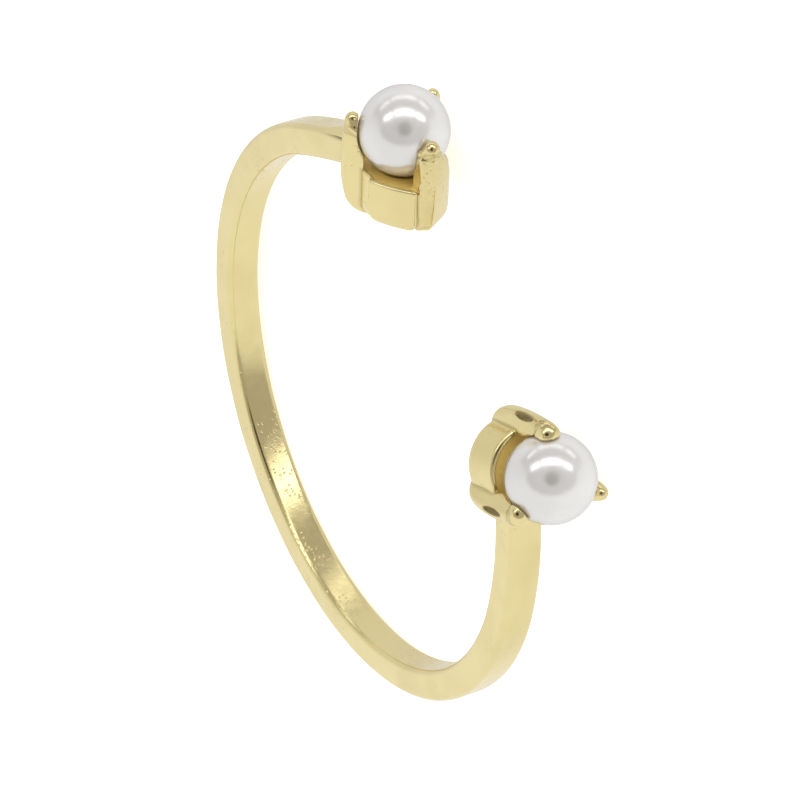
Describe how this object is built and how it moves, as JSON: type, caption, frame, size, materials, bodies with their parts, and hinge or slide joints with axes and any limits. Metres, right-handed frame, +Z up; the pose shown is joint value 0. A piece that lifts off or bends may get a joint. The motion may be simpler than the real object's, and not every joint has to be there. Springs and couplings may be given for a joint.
{
  "type": "open cuff ring",
  "caption": "Open cuff finger ring: a flat metal band bent to an open circle, with a pearl in a three-prong head at each end. It lies on its side.",
  "frame": {"origin": "centre of the finger hole, on its axis, half way across the band", "axes": "+Z up, away from the surface that the ring lies on and 3.7 degrees off the finger hole's axis; +X from the origin towards the middle of the gap between the two heads; +Y towards the upper head"},
  "size_m": [0.0224, 0.0202, 0.0038],
  "materials": {
    "gold": "polished pale gold plating",
    "pearl": "white pearl lustre"
  },
  "bodies": {
    "root": {"cuff": "gold", "pearl_upper": "pearl", "pearl_lower": "pearl"}
  },
  "joints": []
}
